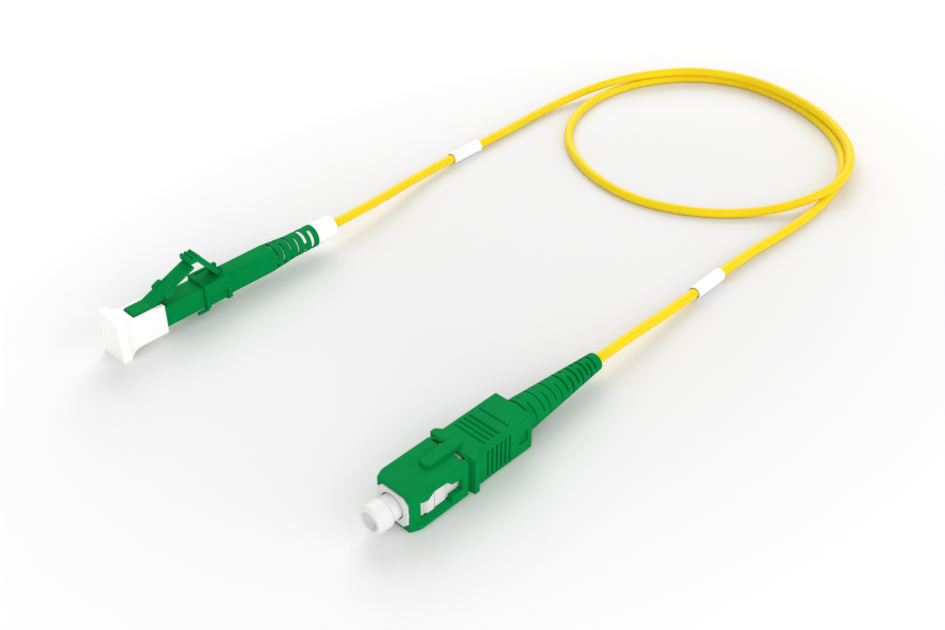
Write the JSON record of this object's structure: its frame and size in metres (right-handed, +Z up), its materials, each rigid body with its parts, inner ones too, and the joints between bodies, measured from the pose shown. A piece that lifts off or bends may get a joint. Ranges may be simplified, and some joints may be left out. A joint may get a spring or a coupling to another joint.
{
  "type": "fibre patch cord",
  "caption": "simplex fibre patch cord with a push-pull plug on one end, a small latched plug on the other, capped, its jacketed fibre laid in a double loop",
  "frame": {"origin": "on the floor, in the middle of the box round the two plugs", "axes": "+Z up, -X the way both plugs point, +Y from the large plug to the small one"},
  "size_m": [0.1763, 0.0802, 0.0136],
  "materials": {
    "green_plastic": "satin",
    "green_boot": "matte",
    "white_plastic": "satin",
    "zirconia": "polished",
    "nickel_brass": "satin",
    "spring_steel": "satin",
    "crimp_metal": "satin",
    "yellow_jacket": "satin",
    "fibre_buffer": "satin"
  },
  "bodies": {
    "cord": {"cable": "yellow_jacket", "sc_plug_frame": "white_plastic", "sc_backbone": "nickel_brass", "sc_crimp_sleeve": "crimp_metal", "sc_boot": "green_boot", "sc_buffered_fibre": "fibre_buffer", "sc_spring": "spring_steel", "lc_housing": "green_plastic", "lc_trigger_clip": "green_plastic", "lc_spring": "spring_steel", "lc_spring_stop": "nickel_brass", "lc_crimp_sleeve": "crimp_metal", "lc_boot": "green_boot", "lc_boot_tail": "white_plastic", "lc_buffered_fibre": "fibre_buffer"},
    "sc_housing": {"sc_outer_housing": "green_plastic"},
    "sc_ferrule_train": {"sc_ferrule": "zirconia", "sc_ferrule_flange": "nickel_brass"},
    "sc_cap": {"sc_dust_cap": "white_plastic"},
    "lc_ferrule_train": {"lc_ferrule": "zirconia", "lc_ferrule_flange": "nickel_brass"},
    "lc_cap": {"lc_dust_cap": "white_plastic"},
    "trigger": {"lc_trigger": "green_plastic"},
    "latch_arm": {"lc_latch_arm": "green_plastic"},
    "sc_marker": {"sc_marker_sleeve": "white_plastic"},
    "lc_marker": {"lc_marker_sleeve": "white_plastic"}
  },
  "joints": [
    {"name": "sc_housing_slide", "type": "slide", "parent": "cord", "child": "sc_housing", "axis": [1, 0, 0], "range_m": [0, 0.0012]},
    {"name": "sc_ferrule_slide", "type": "slide", "parent": "cord", "child": "sc_ferrule_train", "axis": [1, 0, 0], "range_m": [0, 0.001], "stiffness_N_per_m": 1800, "springref_m": -0.005, "deforming": ["sc_spring"]},
    {"name": "sc_cap_slide", "type": "slide", "parent": "cord", "child": "sc_cap", "axis": [-1, 0, 0], "range_m": [0, 0.02]},
    {"name": "lc_ferrule_slide", "type": "slide", "parent": "cord", "child": "lc_ferrule_train", "axis": [1, 0, 0], "range_m": [0, 0.001], "stiffness_N_per_m": 1100, "springref_m": -0.005, "deforming": ["lc_spring"]},
    {"name": "lc_cap_slide", "type": "slide", "parent": "cord", "child": "lc_cap", "axis": [-1, 0, 0], "range_m": [0, 0.016]},
    {"name": "trigger_press", "type": "hinge", "parent": "cord", "child": "trigger", "pos_m": [-0.00415, 0.0347, 0.00745], "axis": [0, -1, 0], "range_deg": [0, 14], "stiffness_Nm_per_rad": 0.01},
    {"name": "latch_press", "type": "hinge", "parent": "cord", "child": "latch_arm", "pos_m": [-0.02285, 0.0347, 0.00695], "axis": [0, 1, 0], "range_deg": [0, 7]},
    {"name": "sc_marker_slide", "type": "slide", "parent": "cord", "child": "sc_marker", "axis": [0.9994, 0.0339, 0], "range_m": [-0.0015, 0.002]},
    {"name": "lc_marker_slide", "type": "slide", "parent": "cord", "child": "lc_marker", "axis": [0.9997, 0.0235, 0], "range_m": [-0.0015, 0.002]}
  ],
  "couplings": [
    {"joint": "latch_press", "follows": "trigger_press", "ratio": 0.5}
  ]
}
